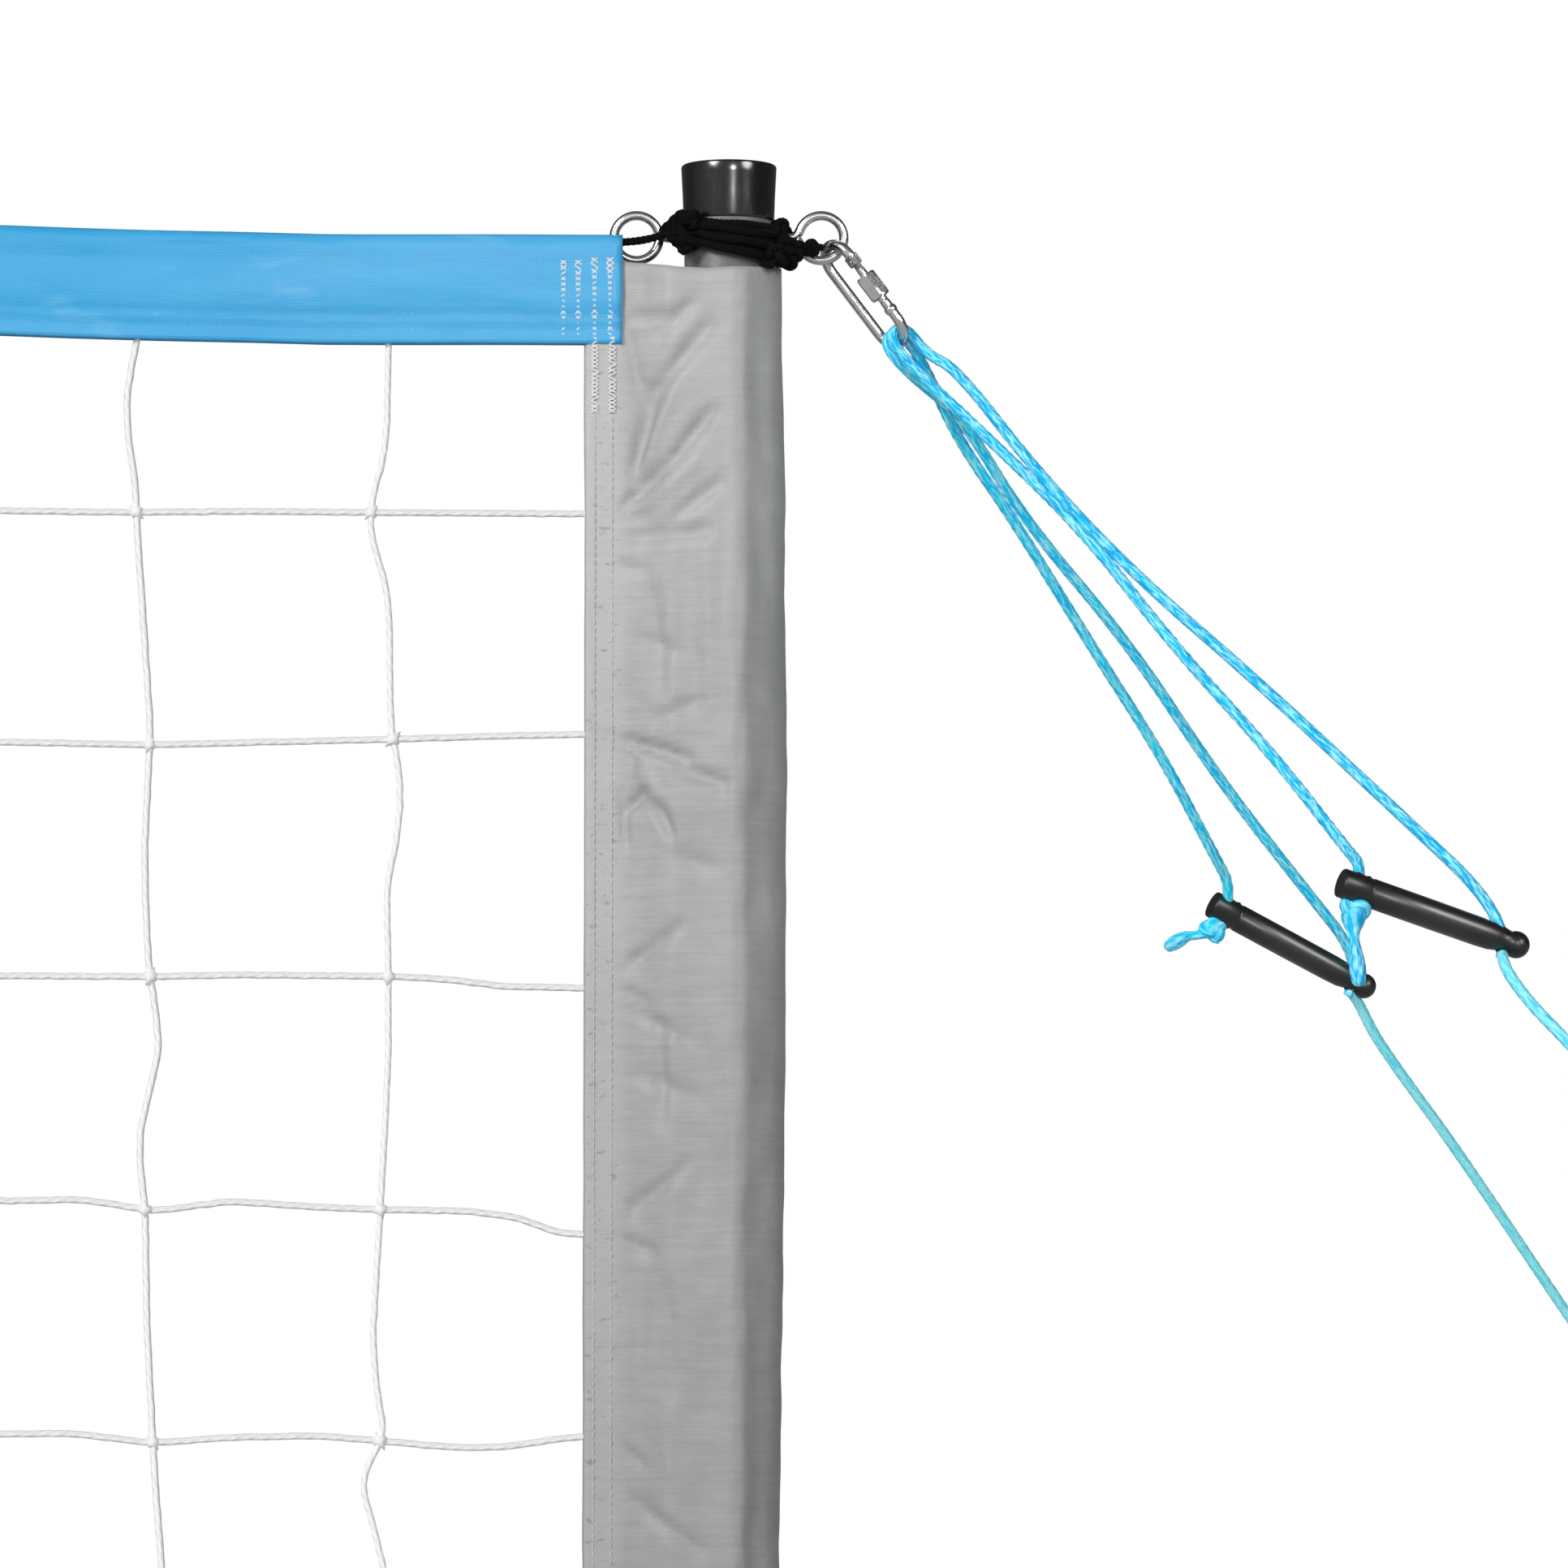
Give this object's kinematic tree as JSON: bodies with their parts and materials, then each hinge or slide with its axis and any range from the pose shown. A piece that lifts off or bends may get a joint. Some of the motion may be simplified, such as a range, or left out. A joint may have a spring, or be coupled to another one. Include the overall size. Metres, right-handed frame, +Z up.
{
  "type": "volleyball net on poles",
  "caption": "Outdoor volleyball net with coated tapes and side sleeves on two telescoping poles, each guyed to ground stakes by two ropes with sliders on a snap link.",
  "frame": {"origin": "on the ground, midway between the two pole axes", "axes": "+X runs along the net to the right-hand pole, +Z is up, -Y is the front side, which the net hangs nearer to"},
  "size_m": [13.2078, 3.3528, 2.4979],
  "materials": {
    "dark_tube": "satin dark anodised",
    "gloss_black_plastic": "gloss",
    "black_plastic": "fine matte",
    "black_rubber": "matte",
    "zinc_steel": "bright zinc",
    "stake_steel": "zinc",
    "grey_cloth": "coated weave",
    "blue_tape": "coated, slight sheen",
    "white_twine": "braided",
    "black_cord": "braided",
    "blue_rope": "braided"
  },
  "bodies": {
    "net_and_upper_poles": {"net_mesh": "white_twine", "head_tape": "blue_tape", "foot_tape": "blue_tape", "head_cord": "black_cord", "foot_cord": "black_cord", "left_pole_upper": "dark_tube", "left_slide_bush": "black_plastic", "left_top_cap": "gloss_black_plastic", "left_barrel_nut": "zinc_steel", "left_net_eye": "zinc_steel", "left_guy_eye": "zinc_steel", "left_side_sleeve": "grey_cloth", "left_head_tie": "black_cord", "left_foot_tie": "black_cord", "right_pole_upper": "dark_tube", "right_slide_bush": "black_plastic", "right_top_cap": "gloss_black_plastic", "right_barrel_nut": "zinc_steel", "right_net_eye": "zinc_steel", "right_guy_eye": "zinc_steel", "right_side_sleeve": "grey_cloth", "right_head_tie": "black_cord", "right_foot_tie": "black_cord"},
    "left_lower_pole": {"left_pole_middle": "dark_tube", "left_pole_base": "dark_tube", "left_pole_foot": "black_rubber", "left_guide_ring": "black_plastic"},
    "left_collar": {"left_lock_collar": "black_plastic"},
    "left_guy_set": {"left_link_hook": "zinc_steel", "left_link_pin": "zinc_steel", "left_guy_loop_front": "blue_rope", "left_guy_loop_back": "blue_rope", "left_guy_line_front": "blue_rope", "left_guy_line_back": "blue_rope", "left_stake_front": "stake_steel", "left_stake_back": "stake_steel"},
    "left_gate": {"left_link_gate": "zinc_steel"},
    "left_lock_nut": {"left_link_nut": "zinc_steel"},
    "left_slider_front": {"left_slider_front": "black_plastic"},
    "left_slider_back": {"left_slider_back": "black_plastic"},
    "right_lower_pole": {"right_pole_middle": "dark_tube", "right_pole_base": "dark_tube", "right_pole_foot": "black_rubber", "right_guide_ring": "black_plastic"},
    "right_collar": {"right_lock_collar": "black_plastic"},
    "right_guy_set": {"right_link_hook": "zinc_steel", "right_link_pin": "zinc_steel", "right_guy_loop_front": "blue_rope", "right_guy_loop_back": "blue_rope", "right_guy_line_front": "blue_rope", "right_guy_line_back": "blue_rope", "right_stake_front": "stake_steel", "right_stake_back": "stake_steel"},
    "right_gate": {"right_link_gate": "zinc_steel"},
    "right_lock_nut": {"right_link_nut": "zinc_steel"},
    "right_slider_front": {"right_slider_front": "black_plastic"},
    "right_slider_back": {"right_slider_back": "black_plastic"}
  },
  "joints": [
    {"name": "height", "type": "slide", "parent": "net_and_upper_poles", "child": "left_lower_pole", "axis": [0, 0, -1], "range_m": [0, 0.19]},
    {"name": "left_collar_twist", "type": "hinge", "parent": "left_lower_pole", "child": "left_collar", "pos_m": [-4.8768, 0, 1.18], "axis": [0, 0, 1], "range_deg": [0, 90]},
    {"name": "left_guy_swing", "type": "hinge", "parent": "net_and_upper_poles", "child": "left_guy_set", "pos_m": [-4.9163, 0, 2.2376], "axis": [0, -1, 0], "range_deg": [0, 7.3]},
    {"name": "left_gate_hinge", "type": "hinge", "parent": "left_guy_set", "child": "left_gate", "pos_m": [-4.93037, -0.00779, 2.22641], "axis": [0.6916, -0.5, -0.5212], "range_deg": [0, 20], "stiffness_Nm_per_rad": 0.04},
    {"name": "left_lock_nut_run", "type": "slide", "parent": "left_gate", "child": "left_lock_nut", "axis": [-0.6018, 0, -0.7986], "range_m": [0, 0.005]},
    {"name": "left_slider_front_run", "type": "slide", "parent": "left_guy_set", "child": "left_slider_front", "axis": [-0.5059, -0.5311, -0.6797], "range_m": [-0.06, 0.06], "deforming": ["left_guy_loop_front", "left_guy_line_front"]},
    {"name": "left_slider_back_run", "type": "slide", "parent": "left_guy_set", "child": "left_slider_back", "axis": [-0.5164, 0.5235, -0.6777], "range_m": [-0.06, 0.06], "deforming": ["left_guy_loop_back", "left_guy_line_back"]},
    {"name": "right_height", "type": "slide", "parent": "net_and_upper_poles", "child": "right_lower_pole", "axis": [0, 0, -1], "range_m": [0, 0.19]},
    {"name": "right_collar_twist", "type": "hinge", "parent": "right_lower_pole", "child": "right_collar", "pos_m": [4.8768, 0, 1.18], "axis": [0, 0, 1], "range_deg": [0, 90]},
    {"name": "right_guy_swing", "type": "hinge", "parent": "net_and_upper_poles", "child": "right_guy_set", "pos_m": [4.9163, 0, 2.2376], "axis": [0, 1, 0], "range_deg": [0, 7.3]},
    {"name": "right_gate_hinge", "type": "hinge", "parent": "right_guy_set", "child": "right_gate", "pos_m": [4.93037, -0.00779, 2.22641], "axis": [0.6916, 0.5, 0.5212], "range_deg": [0, 20], "stiffness_Nm_per_rad": 0.04},
    {"name": "right_lock_nut_run", "type": "slide", "parent": "right_gate", "child": "right_lock_nut", "axis": [0.6018, 0, -0.7986], "range_m": [0, 0.005]},
    {"name": "right_slider_front_run", "type": "slide", "parent": "right_guy_set", "child": "right_slider_front", "axis": [0.5059, -0.5311, -0.6797], "range_m": [-0.06, 0.06], "deforming": ["right_guy_loop_front", "right_guy_line_front"]},
    {"name": "right_slider_back_run", "type": "slide", "parent": "right_guy_set", "child": "right_slider_back", "axis": [0.5164, 0.5235, -0.6777], "range_m": [-0.06, 0.06], "deforming": ["right_guy_loop_back", "right_guy_line_back"]}
  ],
  "couplings": [
    {"joint": "left_guy_swing", "follows": "height", "rad_per_m": 0.6596},
    {"joint": "right_height", "follows": "height", "ratio": 1},
    {"joint": "right_guy_swing", "follows": "height", "rad_per_m": 0.6596}
  ]
}
